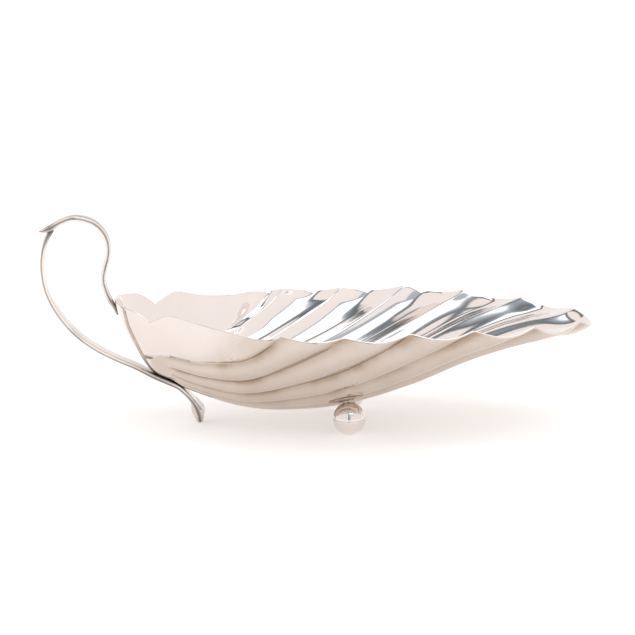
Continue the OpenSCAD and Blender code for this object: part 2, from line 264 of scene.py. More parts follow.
class Wire:
    """A socket that Python expressions can use. Each operator adds its Math node."""

    def __init__(self, tree, socket):
        self.tree = tree
        self.socket = socket

    def math(self, operation, *values):
        settings = {"operation": operation}
        return self.tree.add("ShaderNodeMath", settings, dict(enumerate(values)))

    def __add__(self, other):
        return self.math("ADD", self, other)

    __radd__ = __add__

    def __sub__(self, other):
        return self.math("SUBTRACT", self, other)

    def __rsub__(self, other):
        return self.math("SUBTRACT", other, self)

    def __mul__(self, other):
        return self.math("MULTIPLY", self, other)

    __rmul__ = __mul__

    def __truediv__(self, other):
        return self.math("DIVIDE", self, other)

    def __rtruediv__(self, other):
        return self.math("DIVIDE", other, self)

    def __pow__(self, power):
        return self.math("POWER", self, power)

    def __abs__(self):
        return self.math("ABSOLUTE", self)

    def __neg__(self):
        return self.math("MULTIPLY", self, -1)

    def __gt__(self, other):
        return self.math("GREATER_THAN", self, other)

    def __lt__(self, other):
        return self.math("LESS_THAN", self, other)

    def at_least(self, other):
        return self.math("MAXIMUM", self, other)

    def at_most(self, other):
        return self.math("MINIMUM", self, other)

    def sine(self):
        return self.math("SINE", self)

    def cosine(self):
        return self.math("COSINE", self)

    def exponential(self):
        return self.math("EXPONENT", self)

    def ramp(self, low, high):
        """0 below low, 1 above high, and a smooth step between them."""
        settings = {"interpolation_type": "SMOOTHSTEP"}
        inputs = {"Value": self, "From Min": low, "From Max": high}
        return self.tree.add("ShaderNodeMapRange", settings, inputs)

    def vector_math(self, operation, *values):
        """A Vector Math node with this wire first."""
        settings = {"operation": operation}
        inputs = dict(enumerate((self,) + values))
        return self.tree.add("ShaderNodeVectorMath", settings, inputs)

    def scaled(self, amount):
        """A vector times a number."""
        settings = {"operation": "SCALE"}
        return self.tree.add("ShaderNodeVectorMath", settings, {0: self, "Scale": amount})


class Tree:
    """Adds nodes to a node tree: type, settings, then the values or links of the sockets."""

    def __init__(self, tree):
        self.tree = tree

    def add(self, kind, settings=None, inputs=None, out=0):
        node = self.tree.nodes.new(kind)
        for name, value in (settings or {}).items():
            setattr(node, name, value)
        for name, value in (inputs or {}).items():
            if isinstance(value, Wire):
                self.tree.links.new(value.socket, node.inputs[name])
            else:
                node.inputs[name].default_value = value
        return Wire(self, node.outputs[out]) if len(node.outputs) else node

    def mix(self, factor, first, second):
        """A colour from first, where factor is 0, to second, where it is 1."""
        inputs = {"Factor": factor, MIX_FIRST: first, MIX_SECOND: second}
        return self.add("ShaderNodeMix", {"data_type": "RGBA"}, inputs, MIX_RESULT)

    def attribute(self, name):
        """A number stored on the mesh's points, for a material."""
        return self.add("ShaderNodeAttribute", {"attribute_name": name}, None, "Fac")

    def parts(self, vector):
        """The x, y and z of a vector."""
        first = self.add("ShaderNodeSeparateXYZ", None, {0: vector})
        return tuple(Wire(self, output) for output in first.socket.node.outputs)

    def vector(self, x, y, z):
        return self.add("ShaderNodeCombineXYZ", None, {0: x, 1: y, 2: z})


# ------------------------------------------------------------------ mesh helpers
def new_object(name, mesh):
    piece = bpy.data.objects.new(name, mesh)
    bpy.context.scene.collection.objects.link(piece)
    return piece


def mesh_from(name, points, faces):
    """points in metres; faces as lists of point numbers."""
    mesh = bpy.data.meshes.new(name)
    mesh.from_pydata([tuple(p) for p in points], [], [tuple(int(i) for i in f) for f in faces])
    mesh.update()
    return mesh


def store(mesh, name, values):
    """A point attribute: a number or a vector for each point."""
    values = np.asarray(values, np.float32)
    kind, field = ("FLOAT", "value") if values.ndim == 1 else ("FLOAT_VECTOR", "vector")
    mesh.attributes.new(name, kind, "POINT").data.foreach_set(field, values.ravel())


def turned_outward(mesh, merge=1e-6):
    """Merges doubles and turns the faces of a closed mesh outwards."""
    work = bmesh.new()
    work.from_mesh(mesh)
    bmesh.ops.remove_doubles(work, verts=work.verts, dist=merge)
    bmesh.ops.recalc_face_normals(work, faces=work.faces)
    for face in work.faces:
        face.smooth = True
    work.to_mesh(mesh)
    work.free()
    mesh.update()


def applied(piece, modifier):
    """Turns the piece's Geometry Nodes result into its plain mesh."""
    depsgraph = bpy.context.evaluated_depsgraph_get()
    mesh = bpy.data.meshes.new_from_object(piece.evaluated_get(depsgraph), depsgraph=depsgraph)
    piece.modifiers.remove(modifier)
    piece.data = mesh
    return mesh


def geometry_tree(name, sizes):
    """A Geometry Nodes group with a geometry input, named number inputs and a material."""
    group = bpy.data.node_groups.new(name, "GeometryNodeTree")
    group.interface.new_socket("Geometry", in_out="OUTPUT", socket_type="NodeSocketGeometry")
    group.interface.new_socket("Geometry", in_out="INPUT", socket_type="NodeSocketGeometry")
    for label in sizes:
        group.interface.new_socket(label, in_out="INPUT", socket_type="NodeSocketFloat")
    group.interface.new_socket("Material", in_out="INPUT", socket_type="NodeSocketMaterial")
    tree = Tree(group)
    entry = group.nodes.new("NodeGroupInput")
    given = {socket.name: Wire(tree, socket) for socket in entry.outputs if socket.name}
    return group, tree, given


def finish_tree(group, tree, geometry, material):
    """Realize Instances and Set Material, then the output."""
    real = tree.add("GeometryNodeRealizeInstances", None, {0: geometry})
    dressed = tree.add("GeometryNodeSetMaterial", None, {"Geometry": real, "Material": material})
    exit_node = group.nodes.new("NodeGroupOutput")
    group.links.new(dressed.socket, exit_node.inputs[0])


def use_tree(piece, group, values):
    """Adds the modifier, with its inputs set by the sockets' identifiers."""
    modifier = piece.modifiers.new(group.name, "NODES")
    modifier.node_group = group
    for item in group.interface.items_tree:
        if item.in_out == "INPUT" and item.name in values:
            modifier[item.identifier] = values[item.name]
    return modifier


# ------------------------------------------------------------------ silver finishes
# Scales of the patterns per metre: broad clouds of tarnish and of painted shade, fine grain,
# specks and hairlines
CLOUD_SCALE = 55
FINE_SCALE = 420
SPECK_SCALE = 900
SPECK_EDGE = (0.70, 0.76)
SPECK_DARKNESS = 0.5
# Hairline scratches run two ways: how close, how far drawn out, and how turned about Z
HAIR_SCALES = (260, 300)
HAIR_STRETCHES = (0.06, 0.05)
HAIR_TURNS = (0.5, -0.3)
# What each pattern adds to the roughness, and how high it stands as shares of RELIEF_DEPTH
CLOUD_ROUGHNESS = 0.05
GRIME_ROUGHNESS = 0.16
FINE_ROUGHNESS = 0.03
CLOUD_RELIEF = 0.12
HAIR_RELIEF = 0.02
FINE_RELIEF = 0.012
RELIEF_DEPTH = 0.6 * MM


def silver(name, tone, shade_and_tarnish_tone, roughness, shade_and_tarnish_reader, dents=1.0, outside_shade_tone=None, film=0.0):
    """Polished silver: light tarnish and painted shade where the reader says, fine scratches and
    specks. dents makes the surface more uneven, the outside tone is painted shade on a sheet's
    outside, and film is how far the full darkening covers the metal's shine."""
    material = bpy.data.materials.new(name)
    material.use_nodes = True
    material.node_tree.nodes.clear()
    tree = Tree(material.node_tree)
    place = tree.add("ShaderNodeTexCoord", None, None, "Object")

    def noise(scale, detail, stretch=(1, 1, 1), turn=0.0):
        spot = tree.add("ShaderNodeMapping", None,
                        {"Vector": place, "Scale": stretch, "Rotation": (0, 0, turn)})
        return tree.add("ShaderNodeTexNoise", None,
                        {"Vector": spot, "Scale": scale, "Detail": detail, "Roughness": 0.55})

    clouds = noise(CLOUD_SCALE, 4)
    fine = noise(FINE_SCALE, 5)
    specks = noise(SPECK_SCALE, 2).ramp(*SPECK_EDGE)
    hairlines = (noise(HAIR_SCALES[0], 3, (HAIR_STRETCHES[0], 1, 1), HAIR_TURNS[0]) * 0.5
                 + noise(HAIR_SCALES[1], 3, (1, HAIR_STRETCHES[1], 1), HAIR_TURNS[1]) * 0.5)
    shade_and_tarnish = shade_and_tarnish_reader(tree, clouds, fine)
    # The darkening: tarnish, and on some parts painted shade, from the reader, with tarnish specks
    darkened = (shade_and_tarnish + specks * SPECK_DARKNESS * clouds.ramp(0.4, 0.65)).at_most(1)
    clean = (*tone, 1)
    # The outside's darker tone is painted shade: the reflection of the shadowed floor, painted in
    if outside_shade_tone:
        clean = tree.mix(tree.attribute("outside"), clean, (*outside_shade_tone, 1))
    colour = tree.mix(darkened, clean, (*shade_and_tarnish_tone, 1))
    rough = (roughness + clouds.ramp(0.35, 0.75) * CLOUD_ROUGHNESS + darkened * GRIME_ROUGHNESS
             + fine.ramp(0.5, 0.8) * FINE_ROUGHNESS)
    height = (clouds * CLOUD_RELIEF * dents + hairlines * HAIR_RELIEF * dents
              + fine * FINE_RELIEF * dents)
    bump = tree.add("ShaderNodeBump", None,
                    {"Height": height, "Strength": 0.25, "Distance": RELIEF_DEPTH})
    metal = 1 - darkened * film if film else 1.0
    shader = tree.add("ShaderNodeBsdfPrincipled", None, {
        "Base Color": colour, "Metallic": metal, "Roughness": rough, "Normal": bump,
        "IOR": 1.45})
    tree.add("ShaderNodeOutputMaterial", None, {"Surface": shader})
    return material


def bowl_shade_and_tarnish(tree, clouds, fine):
    """Painted tan shade along the outside's grooves, fading out over the flutes' backs into light
    tarnish.
    """
    patches = clouds.ramp(0.42, 0.72)
    in_grooves = tree.attribute("groove") * (0.55 + patches * 0.45)
    on_backs = patches * 0.12 + fine.ramp(0.55, 0.8) * 0.05
    return (in_grooves + on_backs) * tree.attribute("outside") + patches * 0.03


def strap_shade_and_tarnish(tree, clouds, fine):
    """Painted shade down in the reed grooves and painted shadow at the joints at the straps' ends,
    with light patches of tarnish.
    """
    patches = clouds.ramp(0.45, 0.75) * 0.25 + fine.ramp(0.55, 0.85) * 0.1
    return (tree.attribute("reed") * 0.85 + patches).at_most(1)


def foot_grime(tree, clouds, fine):
    """A trace of tarnish on the well polished balls."""
    return clouds.ramp(0.5, 0.8) * 0.12 + fine.ramp(0.6, 0.85) * 0.08


def solder_shade(tree, clouds, fine):
    """Heavy brown patches of painted shade on the uneven solder under the bowl."""
    return (clouds.ramp(0.4, 0.65) * 0.6 + fine.ramp(0.45, 0.75) * 0.4).at_most(1)


WARM_SILVER = (0.91, 0.85, 0.82)
# Painted shade: the bowl outside's darker tone stands in for the shadowed floor it reflects
OUTSIDE_SHADE_SILVER = (0.67, 0.585, 0.525)
STRAP_TONE = (0.84, 0.785, 0.745)
# The balls' silver, darkened as painted shade from the dish above them
FOOT_TONE_WITH_SHADE = (0.82, 0.76, 0.725)
# The solder's darker, browner tone is painted shade under the bowl
SHADED_SOLDER_TONE = (0.74, 0.66, 0.58)
# Tan: tarnish, and painted shade in the bowl's outside grooves
TAN = (0.42, 0.32, 0.24)
# Dark brown: painted shade in the straps' grooves and painted shadow at their joints, and tarnish
DARK_BROWN = (0.15, 0.11, 0.09)
SOLDER_SHADE_BROWN = (0.26, 0.18, 0.11)
bowl_silver = silver("bowl_silver", WARM_SILVER, TAN, 0.05, bowl_shade_and_tarnish, outside_shade_tone=OUTSIDE_SHADE_SILVER)
# The straps' painted shade also takes away some of the metal's shine
strap_silver = silver("strap_silver", STRAP_TONE, DARK_BROWN, 0.08, strap_shade_and_tarnish, film=0.5)
foot_silver = silver("foot_silver", FOOT_TONE_WITH_SHADE, TAN, 0.05, foot_grime)
solder_silver = silver("solder_silver", SHADED_SOLDER_TONE, SOLDER_SHADE_BROWN, 0.16, solder_shade, dents=3)


# ------------------------------------------------------------------ the fluted bowl
COLUMNS_PER_FLUTE = 28
COLUMNS_PER_PETAL = 22
HEEL_ROWS = 8
FLUTE_ROWS = 84
RIM_ROWS = 4
# Columns crowd towards the ridges, and rows are a little wider apart towards the rim
CROWDING = 0.6
ROW_EVENNESS = 0.75
RIM_CLEARANCE = 0.1
# How many rows back the sheet's pace and its direction at the rim are measured
PACE_STEP = 0.02
RUN_STEP = 0.015
# Hammer marks: how close, and how deep
HAMMER_SCALE = 38.0
PLANISHING = 0.05
# The painted shade in the outside's grooves along the ridges, as a share of a flute, and the last
# column with one
GROOVE_WIDTH = 0.15
LAST_GROOVE = SHOULDER + 0.3
# The petal beside the handle gets less painted shade on its outside, so it is painted lighter: how
# much less, from which column, over how many
PETAL_SHADE_CUT = 0.6
PETAL_BEGIN = 5.7
PETAL_RAMP = 0.7


def crowded(count):
    """Steps of a flute from 0 to 1, closest together at the ridges."""
    k = np.arange(count) / count
    return k - CROWDING * np.sin(2 * pi * k) / (2 * pi)


def bowl_columns():
    """Each column's t and its side of the middle plane, all the way round from the tip."""
    steps = crowded(COLUMNS_PER_FLUTE)
    half = [t - 1 for t in steps if t >= 0.5 - SMALL]
    for first in range(SHOULDER):
        half += [first + t for t in steps]
    for first in (SHOULDER, NOTCH):
        half += [first + k / COLUMNS_PER_PETAL for k in range(COLUMNS_PER_PETAL)]
    t = np.array(half + [JOINT] + half[:0:-1])
    side = np.array([1.0] * (len(half) + 1) + [-1.0] * (len(half) - 1))
    return t, side


def flute_tree():
    """Raises the flutes from the ridge surface and gives the sheet its wall and rim."""
    sizes = ("Flute Depth", "Flute Slope", "Flute Swell", "Rim Swell", "Wall", "Ridge Softness",
             "Planishing")
    group, tree, given = geometry_tree("raise the flutes", sizes)

    def read(name, kind="FLOAT"):
        return tree.add("GeometryNodeInputNamedAttribute", {"data_type": kind}, {"Name": name})

    soft = given["Ridge Softness"]
    wave = (read("flute") * pi).sine()
    rounded = (wave * wave + soft * soft) ** 0.5 - soft
    form = rounded / ((soft * soft + 1) ** 0.5 - soft)
    depth = (read("reach") * given["Flute Slope"]).at_most(given["Flute Depth"])
    depth = depth * (1 + given["Flute Swell"] * read("swell"))
    hammer = tree.add("ShaderNodeTexNoise", None, {"Scale": HAMMER_SCALE, "Detail": 1.0}) - 0.5
    raised = (depth * form + given["Rim Swell"] * read("swell")) * read("begin")
    out = raised + read("side") * given["Wall"] * 0.5 + hammer * given["Planishing"]
    push = read("outward", "FLOAT_VECTOR").scaled(out)
    lip = read("lip", "FLOAT_VECTOR").scaled(given["Wall"] * 0.5)
    moved = tree.add("GeometryNodeSetPosition", None,
                     {"Geometry": given["Geometry"], "Offset": push.vector_math("ADD", lip)})
    finish_tree(group, tree, moved, given["Material"])
    return group


def fluted_bowl():
    """The raised sheet: outer skin from the pole to the rim, a round lip, and the inner skin."""
    t, side = bowl_columns()
    count = len(t)
    f = np.arange(1, FLUTE_ROWS + 1) / FLUTE_ROWS
    heel_rows = np.arange(1, HEEL_ROWS + 1) / HEEL_ROWS
    flute_rows = 1 + ROW_EVENNESS * f + (1 - ROW_EVENNESS) * f**2
    rows = np.concatenate([heel_rows, flute_rows])
    grid_t, grid_v = np.meshgrid(t, rows)

    def up_to_rim(rows_back):
        return sheet(t, np.full(count, 2.0), 0) - sheet(t, np.full(count, 2 - rows_back), 0)

    # the rounded lip ends at the rim, so the rows stop half the sheet's thickness before it
    pace = np.linalg.norm(up_to_rim(PACE_STEP), axis=-1) / PACE_STEP
    kept = 1 - (WALL / 2 + RIM_CLEARANCE) / pace
    grid_v = np.where(grid_v > 1, 1 + (grid_v - 1) * kept, grid_v)
    p = plan(grid_t, grid_v)
    x, y = p[..., 0], p[..., 1]
    base, out = on_ridges(x, y), outward(x, y)
    reach = np.hypot(x, y)
    begin = flute_begin(grid_t, grid_v, reach)
    near_rim = swell(grid_v)
    flip = np.stack([np.ones(count), side, np.ones(count)], -1)
    base, out = base * flip, out * flip
    # the direction in which the sheet runs off its rim
    run = unit(up_to_rim(RUN_STEP) * flip)

    pole_x, pole_y = np.array(POLE[0]), np.array(POLE[1])
    pole = on_ridges(pole_x, pole_y), outward(pole_x, pole_y)
    points, outs, ts, reaches, begins, swells, sides, lips = [], [], [], [], [], [], [], []

    def add_rows(which, skin, lip):
        """Adds rows that are moved half the wall out by skin, and off the rim by lip."""
        for i in which:
            points.append(base[i])
            outs.append(out[i])
            ts.append(grid_t[i])
            reaches.append(reach[i])
            begins.append(begin[i])
            swells.append(near_rim[i])
            sides.append(np.full(count, skin))
            lips.append(run * lip)

    last = len(rows) - 1
    add_rows(range(last + 1), 1, 0)
    for k in range(1, RIM_ROWS + 1):
        turn = pi * k / (RIM_ROWS + 1)
        add_rows([last], cos(turn), sin(turn))
    add_rows(range(last, -1, -1), -1, 0)
    ring_count = len(points)
    points = np.concatenate(points + [np.array([pole[0], pole[0]])])
    outs = np.concatenate(outs + [np.array([pole[1], pole[1]])])
    tail = np.array([0.0, 0.0])
    first_pole = ring_count * count

    faces = []
    for i in range(ring_count - 1):
        for j in range(count):
            a, b = i * count + j, i * count + (j + 1) % count
            faces.append((a, a + count, b + count, b))
    for j in range(count):
        faces.append((first_pole, j, (j + 1) % count))
        a = (ring_count - 1) * count
        faces.append((first_pole + 1, a + (j + 1) % count, a + j))

    mesh = mesh_from("fluted_bowl", (points + PLACE) * MM, faces)
    store(mesh, "outward", outs)
    flute = np.concatenate(ts + [tail])
    store(mesh, "flute", flute)
    store(mesh, "reach", np.concatenate(reaches + [tail]) * MM)
    begins = np.concatenate(begins + [tail])
    store(mesh, "begin", begins)
    store(mesh, "swell", np.concatenate(swells + [tail]))
    sides = np.concatenate(sides + [np.array([1.0, -1.0])])
    store(mesh, "side", sides)
    # Less painted shade on the outside of the petal beside the handle, which is painted lighter
    shade_cut = PETAL_SHADE_CUT * smooth((flute - PETAL_BEGIN) / PETAL_RAMP)
    store(mesh, "outside", np.clip(sides, 0, 1) * (1 - shade_cut))
    store(mesh, "lip", np.concatenate(lips + [np.zeros((2, 3))]))
    near_ridge = np.exp(-((np.abs(flute - np.round(flute)) / GROOVE_WIDTH) ** 2))
    # painted shade along the outside's grooves
    store(mesh, "groove", near_ridge * begins * (flute < LAST_GROOVE))

    piece = new_object("fluted_bowl", mesh)
    modifier = use_tree(piece, flute_tree(), {
        "Flute Depth": FLUTE_DEPTH * MM, "Flute Slope": FLUTE_SLOPE, "Wall": WALL * MM,
        "Flute Swell": FLUTE_SWELL, "Rim Swell": RIM_SWELL * MM,
        "Ridge Softness": RIDGE_SOFTNESS, "Planishing": PLANISHING * MM, "Material": bowl_silver})
    turned_outward(applied(piece, modifier))
    return piece


bowl = fluted_bowl()
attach(bowl, "root")
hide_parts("bowl")


# ------------------------------------------------------------------ the handle's straps
JOINT_X = PLACE[0]
JOINT_Z = PLACE[2] + STATIONS[0, 2]
LOOP_DROP = 0.08


def loop_point(back, rise, width, thick):
    """A place on the loop, as shares of its reach and rise from the handle joint."""
    return [JOINT_X - back * HANDLE_REACH, JOINT_Z + rise * HANDLE_RISE - LOOP_DROP,
            width * STRAP_WIDTH, thick * STRAP_THICKNESS, 0]


def seated(x, width, thick):
    """A place where the strap lies against the bowl's back or keel."""
    skin = WALL / 2 + thick * STRAP_THICKNESS / 2
    x, y = np.array(float(x)), np.array(0.0)
    full = min(FLUTE_SLOPE * float(x), FLUTE_DEPTH) * smooth((x - ROOT_RADIUS) / ROOT_RAMP)
    p = on_ridges(x, y) + (full + skin) * outward(x, y) + PLACE
    return [p[0], p[2], width * STRAP_WIDTH, thick * STRAP_THICKNESS, 0]


# Each knot of a path is x, z, width, thickness, and how far the strap's edges curl down
UPPER_PATH = [
    seated(1.75, 0.16, 0.4), seated(0.9, 0.42, 0.7),
    loop_point(0.075, -0.01, 0.66, 0.95), loop_point(0.126, 0.12, 0.85, 1),
    loop_point(0.151, 0.25, 0.97, 1), loop_point(0.126, 0.39, 1, 1),
    loop_point(0.088, 0.53, 1, 1), loop_point(0.083, 0.67, 1, 1),
    loop_point(0.132, 0.81, 1, 1), loop_point(0.24, 0.925, 1, 1),
    loop_point(0.38, 0.985, 1, 1), loop_point(0.53, 1, 1, 1),
    loop_point(0.67, 0.955, 1, 1), loop_point(0.8, 0.885, 0.95, 1),
    loop_point(0.905, 0.84, 0.66, 0.75), loop_point(0.958, 0.828, 0.2, 0.35)]
LOWER_PATH = [
    loop_point(0.8, 0.845, 0.75, 0.8), loop_point(0.868, 0.73, 0.9, 1),
    loop_point(0.915, 0.55, 1, 1), loop_point(0.923, 0.35, 1, 1),
    loop_point(0.888, 0.135, 1, 1), loop_point(0.81, -0.06, 1, 1),
    loop_point(0.7, -0.235, 1, 1), loop_point(0.56, -0.4, 1, 1),
    loop_point(0.39, -0.545, 1, 1), loop_point(0.19, -0.67, 1, 1),
    loop_point(-0.03, -0.775, 1, 1), loop_point(-0.26, -0.87, 1, 1),
    seated(16.8, 1, 1), seated(22.5, 1, 1), seated(27.5, 1, 1),
    [JOINT_X + 31.6, 1.4 * BALL_RADIUS, 1.06 * STRAP_WIDTH, 1.05 * STRAP_THICKNESS, 0.4],
    [JOINT_X + 33.4, 0.68 * BALL_RADIUS, SPADE_WIDTH, 1.75 * STRAP_THICKNESS, 1.8],
    [JOINT_X + 34.6, 0.08 * BALL_RADIUS, 0.5 * SPADE_WIDTH, 1.0 * STRAP_THICKNESS, 0.8]]
RINGS_PER_SPAN = 9
AROUND = 120
# The crown's and the underside's shares of the thickness, and how square each is
CROWN_RISE = 0.6
CROWN_BASE = -0.1
CROWN_POWER = 0.6
UNDERSIDE_FALL = 0.4
UNDERSIDE_POWER = 0.25
# How far above and below the strap's edge its crown and underside begin. The mesh's seam runs
# along that edge, and closes because both of its sides lie in between.
EDGE_SLACK = 1e-4
# Places of the grooves as shares of the half width, and their widths
REED_PLACE = 0.36
REED_SPREAD = 0.09
EDGE_PLACE = 0.94
EDGE_SPREAD = 0.06
# The hollow down the middle of the spade foot
CLEFT_SHARPNESS = 25
CLEFT_SHARE = 0.45
# The rounded ends: rings at these shares of the cap's reach, which is a share of the thickness
CAP_RINGS = np.array([1.0, 0.86, 0.5, 0.0])
CAP_REACH = 0.4
# The reeds fade out where the strap narrows to this share of its full width
REEDED_FROM = 0.25
REEDED_RAMP = 0.5


def strap_tree(rings):
    """Sweeps a reeded strap along a path. Each path point holds its width and thickness."""
    sizes = ("Reed Depth", "Reed Place", "Reed Width", "Edge Place", "Edge Width")
    group, tree, given = geometry_tree("sweep a reeded strap", sizes)
    grid = tree.add("GeometryNodeMeshGrid", None,
                    {"Size X": 1.0, "Size Y": 1.0, "Vertices X": rings, "Vertices Y": AROUND + 1})
    x, y, _ = tree.parts(tree.add("GeometryNodeInputPosition"))
    ring = (x + 0.5) * (rings - 1) + 0.5

    def read(name, kind="FLOAT"):
        value = tree.add("GeometryNodeInputNamedAttribute", {"data_type": kind}, {"Name": name})
        inputs = {"Geometry": given["Geometry"], "Value": value, "Index": ring.math("FLOOR", ring)}
        return tree.add("GeometryNodeSampleIndex", {"data_type": kind, "domain": "POINT"}, inputs)

    turn = (y + 0.5) * (2 * pi)
    across, height = turn.cosine(), turn.sine()
    top, bottom = (height - EDGE_SLACK).at_least(0), (-height - EDGE_SLACK).at_least(0)
    on_crown = top > 0
    crown = top**CROWN_POWER * CROWN_RISE + CROWN_BASE - bottom**UNDERSIDE_POWER * UNDERSIDE_FALL

    def groove(place, width):
        offset = (abs(across) - given[place]) / given[width]
        return (-(offset * offset)).exponential() * on_crown

    reed = groove("Reed Place", "Reed Width")
    edge = groove("Edge Place", "Edge Width")
    cleft = (-(across * across * CLEFT_SHARPNESS)).exponential() * on_crown
    out = crown * read("thick") - reed * given["Reed Depth"] * read("reeded")
    out = out - edge * given["Reed Depth"] * read("reeded") - read("curl") * across * across
    out = out - cleft * read("curl") * CLEFT_SHARE
    middle = read("centre", "FLOAT_VECTOR")
    place = middle.vector_math("ADD", read("up", "FLOAT_VECTOR").scaled(out))
    place = place.vector_math("ADD", tree.vector(0.0, across * read("width") * 0.5, 0.0))
    # Painted shade in the reed and edge grooves, and painted shadow at the joints, darken the
    # strap's colour
    darkened = (reed + edge + read("joint_shadow")).at_most(1)
    marked = tree.add("GeometryNodeStoreNamedAttribute", {"data_type": "FLOAT", "domain": "POINT"},
                      {"Geometry": grid, "Name": "reed", "Value": darkened})
    shaped = tree.add("GeometryNodeSetPosition", None, {"Geometry": marked, "Position": place})
    closed = tree.add("GeometryNodeMergeByDistance", None, {"Geometry": shaped, "Distance": SMALL})
    finish_tree(group, tree, closed, given["Material"])
    return group


def reeded_strap(name, path, material, darkened):
    """A strap with its reeded face to the right of its path, which is the handle's outside.
    Each place of painted shadow is a knot of the path, how many knots it fades over, and its
    darkness."""
    path = np.array(path)
    knots = np.arange(len(path))
    steps = np.linspace(0, len(path) - 1, (len(path) - 1) * RINGS_PER_SPAN + 1)
    x, z, width, thick, curl = (curve(knots, path[:, i])(steps) for i in range(5))
    tangent = unit(np.stack([np.gradient(x), np.gradient(z)], -1))
    level = np.zeros(len(x))
    up = np.stack([tangent[:, 1], level, -tangent[:, 0]], -1)
    centre = np.stack([x, level, z], -1)
    # both ends close on a rounded cap: a point, then rings that grow to the strap's full size
    cap = np.sqrt(1 - CAP_RINGS**2)
    reach = CAP_REACH * CAP_RINGS
    ahead = np.stack([tangent[:, 0], level, tangent[:, 1]], -1)

    def with_caps(values, scaled):
        first = [values[0] * (s if scaled else 1) for s in cap[:-1]]
        end = [values[-1] * (s if scaled else 1) for s in cap[:-1]][::-1]
        return np.array(first + list(values) + end)

    centres = with_caps(centre, False)
    for k in range(len(CAP_RINGS) - 1):
        centres[k] -= ahead[0] * reach[k] * thick[0]
        centres[-1 - k] += ahead[-1] * reach[k] * thick[-1]
    mesh = mesh_from(name, centres * MM, [])
    store(mesh, "centre", centres * MM)
    store(mesh, "up", with_caps(up, False))
    store(mesh, "width", with_caps(width, True) * MM)
    store(mesh, "thick", with_caps(thick, True) * MM)
    store(mesh, "curl", with_caps(curl, True) * MM)
    # painted shadow at the joints
    joint_shadow = sum(dark * np.exp(-(((steps - knot) / fade) ** 2)) for knot, fade, dark in darkened)
    store(mesh, "joint_shadow", with_caps(joint_shadow, False))
    reeded = smooth((width / STRAP_WIDTH - REEDED_FROM) / REEDED_RAMP)
    store(mesh, "reeded", with_caps(reeded, True))
    piece = new_object(name, mesh)
    modifier = use_tree(piece, strap_tree(len(centres)), {
        "Reed Depth": REED_DEPTH * MM, "Reed Place": REED_PLACE, "Reed Width": REED_SPREAD,
        "Edge Place": EDGE_PLACE, "Edge Width": EDGE_SPREAD, "Material": material})
    mesh = applied(piece, modifier)
    turned_outward(mesh)
    for vertex in mesh.vertices:
        vertex.co.z = max(vertex.co.z, 0)
    return piece


# Painted shadow where the straps meet the bowl, each other and the floor: knot, fade, darkness
UPPER_JOINT_SHADOW = ((0.8, 1.2, 0.5), (13.2, 0.6, 0.7))
LOWER_JOINT_SHADOW = ((0, 0.7, 0.9), (12.3, 1.6, 0.6), (17, 0.5, 0.4))
upper = reeded_strap("thumb_strap", UPPER_PATH, strap_silver, UPPER_JOINT_SHADOW)
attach(upper, "root")
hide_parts("upper_handle_strap")
lower = reeded_strap("rear_foot_strap", LOWER_PATH, strap_silver, LOWER_JOINT_SHADOW)
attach(lower, "root")
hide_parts("lower_handle_strap")


# ------------------------------------------------------------------ ball feet
# Points of each half ball's outer and inner arcs, and the fine groove at the soldered seam
OUTER_STEPS = 40
INNER_STEPS = 20
SEAM_WIDTH = 0.07
# The bracket's leaf: its half span in flutes, and how its outline narrows to the tips
LEAF_SPAN = 0.34
LEAF_NARROWING = 0.25
LEAF_SEGMENTS = 48
# Rings of the neck as shares of the ball's radius or of its foot, and heights in millimetres
NECK_FOOT = 0.42
NECK_WAIST = 0.3
ON_BALL_SHARES = (0.4, 0.8, 1.0)
SOLDER_HEIGHT = 0.03
FILLET_SHARE = 0.8
FILLET_DROP = 0.1
WAIST_RISE = 0.35
# Rings of the leaf: share of its size, and height as a share of the plate's thickness
LEAF_RINGS = ((0.36, 1.15), (0.5, 0.85), (0.8, 0.75), (0.96, 0.55), (1, 0.25), (1, -0.02),
              (0.66, -0.02), (0.33, -0.02))


def lathed(name, profile, centre, segments=128):
    """A closed solid of revolution. profile runs from pole to pole as (radius, height)."""
    angles = np.arange(segments) * 2 * pi / segments
    points, faces = [(centre[0], centre[1], profile[0][1])], []
    for radius, height in profile[1:-1]:
        points += [(centre[0] + radius * cos(a), centre[1] + radius * sin(a), height)
                   for a in angles]
    points.append((centre[0], centre[1], profile[-1][1]))
    rings = len(profile) - 2
    for j in range(segments):
        k = (j + 1) % segments
        faces.append((0, 1 + j, 1 + k))
        for i in range(rings - 1):
            a, b = 1 + i * segments, 1 + (i + 1) * segments
            faces.append((a + j, b + j, b + k, a + k))
        a = 1 + (rings - 1) * segments
        faces.append((a + k, a + j, len(points) - 1))
    mesh = mesh_from(name, np.array(points) * MM, faces)
    turned_outward(mesh)
    return new_object(name, mesh)


def ball_profile(top, middle):
    """Half of the hollow ball: outer arc, narrow seam face, inner arc."""
    sign = 1 if top else -1
    inner = BALL_RADIUS - BALL_WALL
    outer_angles = np.linspace(pi / 2, SEAM_WIDTH / BALL_RADIUS, OUTER_STEPS)
    inner_angles = np.linspace(0, pi / 2, INNER_STEPS)
    arc = [(BALL_RADIUS * cos(a), middle + sign * BALL_RADIUS * sin(a)) for a in outer_angles]
    arc = [(r, max(z, 0)) for r, z in arc]
    lip = [(BALL_RADIUS - SEAM_WIDTH, middle)]
    hollow = [(inner * cos(a), middle + sign * inner * sin(a)) for a in inner_angles]
    return arc + lip + hollow


def on_plate(foot_v, a, share, skin):
    """A point of the bracket's leaf-shaped plate, on the bowl's flute."""
    tip = 1 - LEAF_NARROWING * np.sin(a) ** 2
    t = FOOT_FLUTE + share * LEAF_SPAN * np.sin(a) * tip
    run = float(rim_plan(np.array(FOOT_FLUTE))[0] - root_plan(np.array(FOOT_FLUTE))[0])
    point = 1 - LEAF_NARROWING + LEAF_NARROWING * np.abs(np.cos(a))
    dv = share * PLATE_LENGTH / 2 * np.cos(a) * point / run
    return sheet(t, foot_v + dv, WALL / 2 + skin) + PLACE


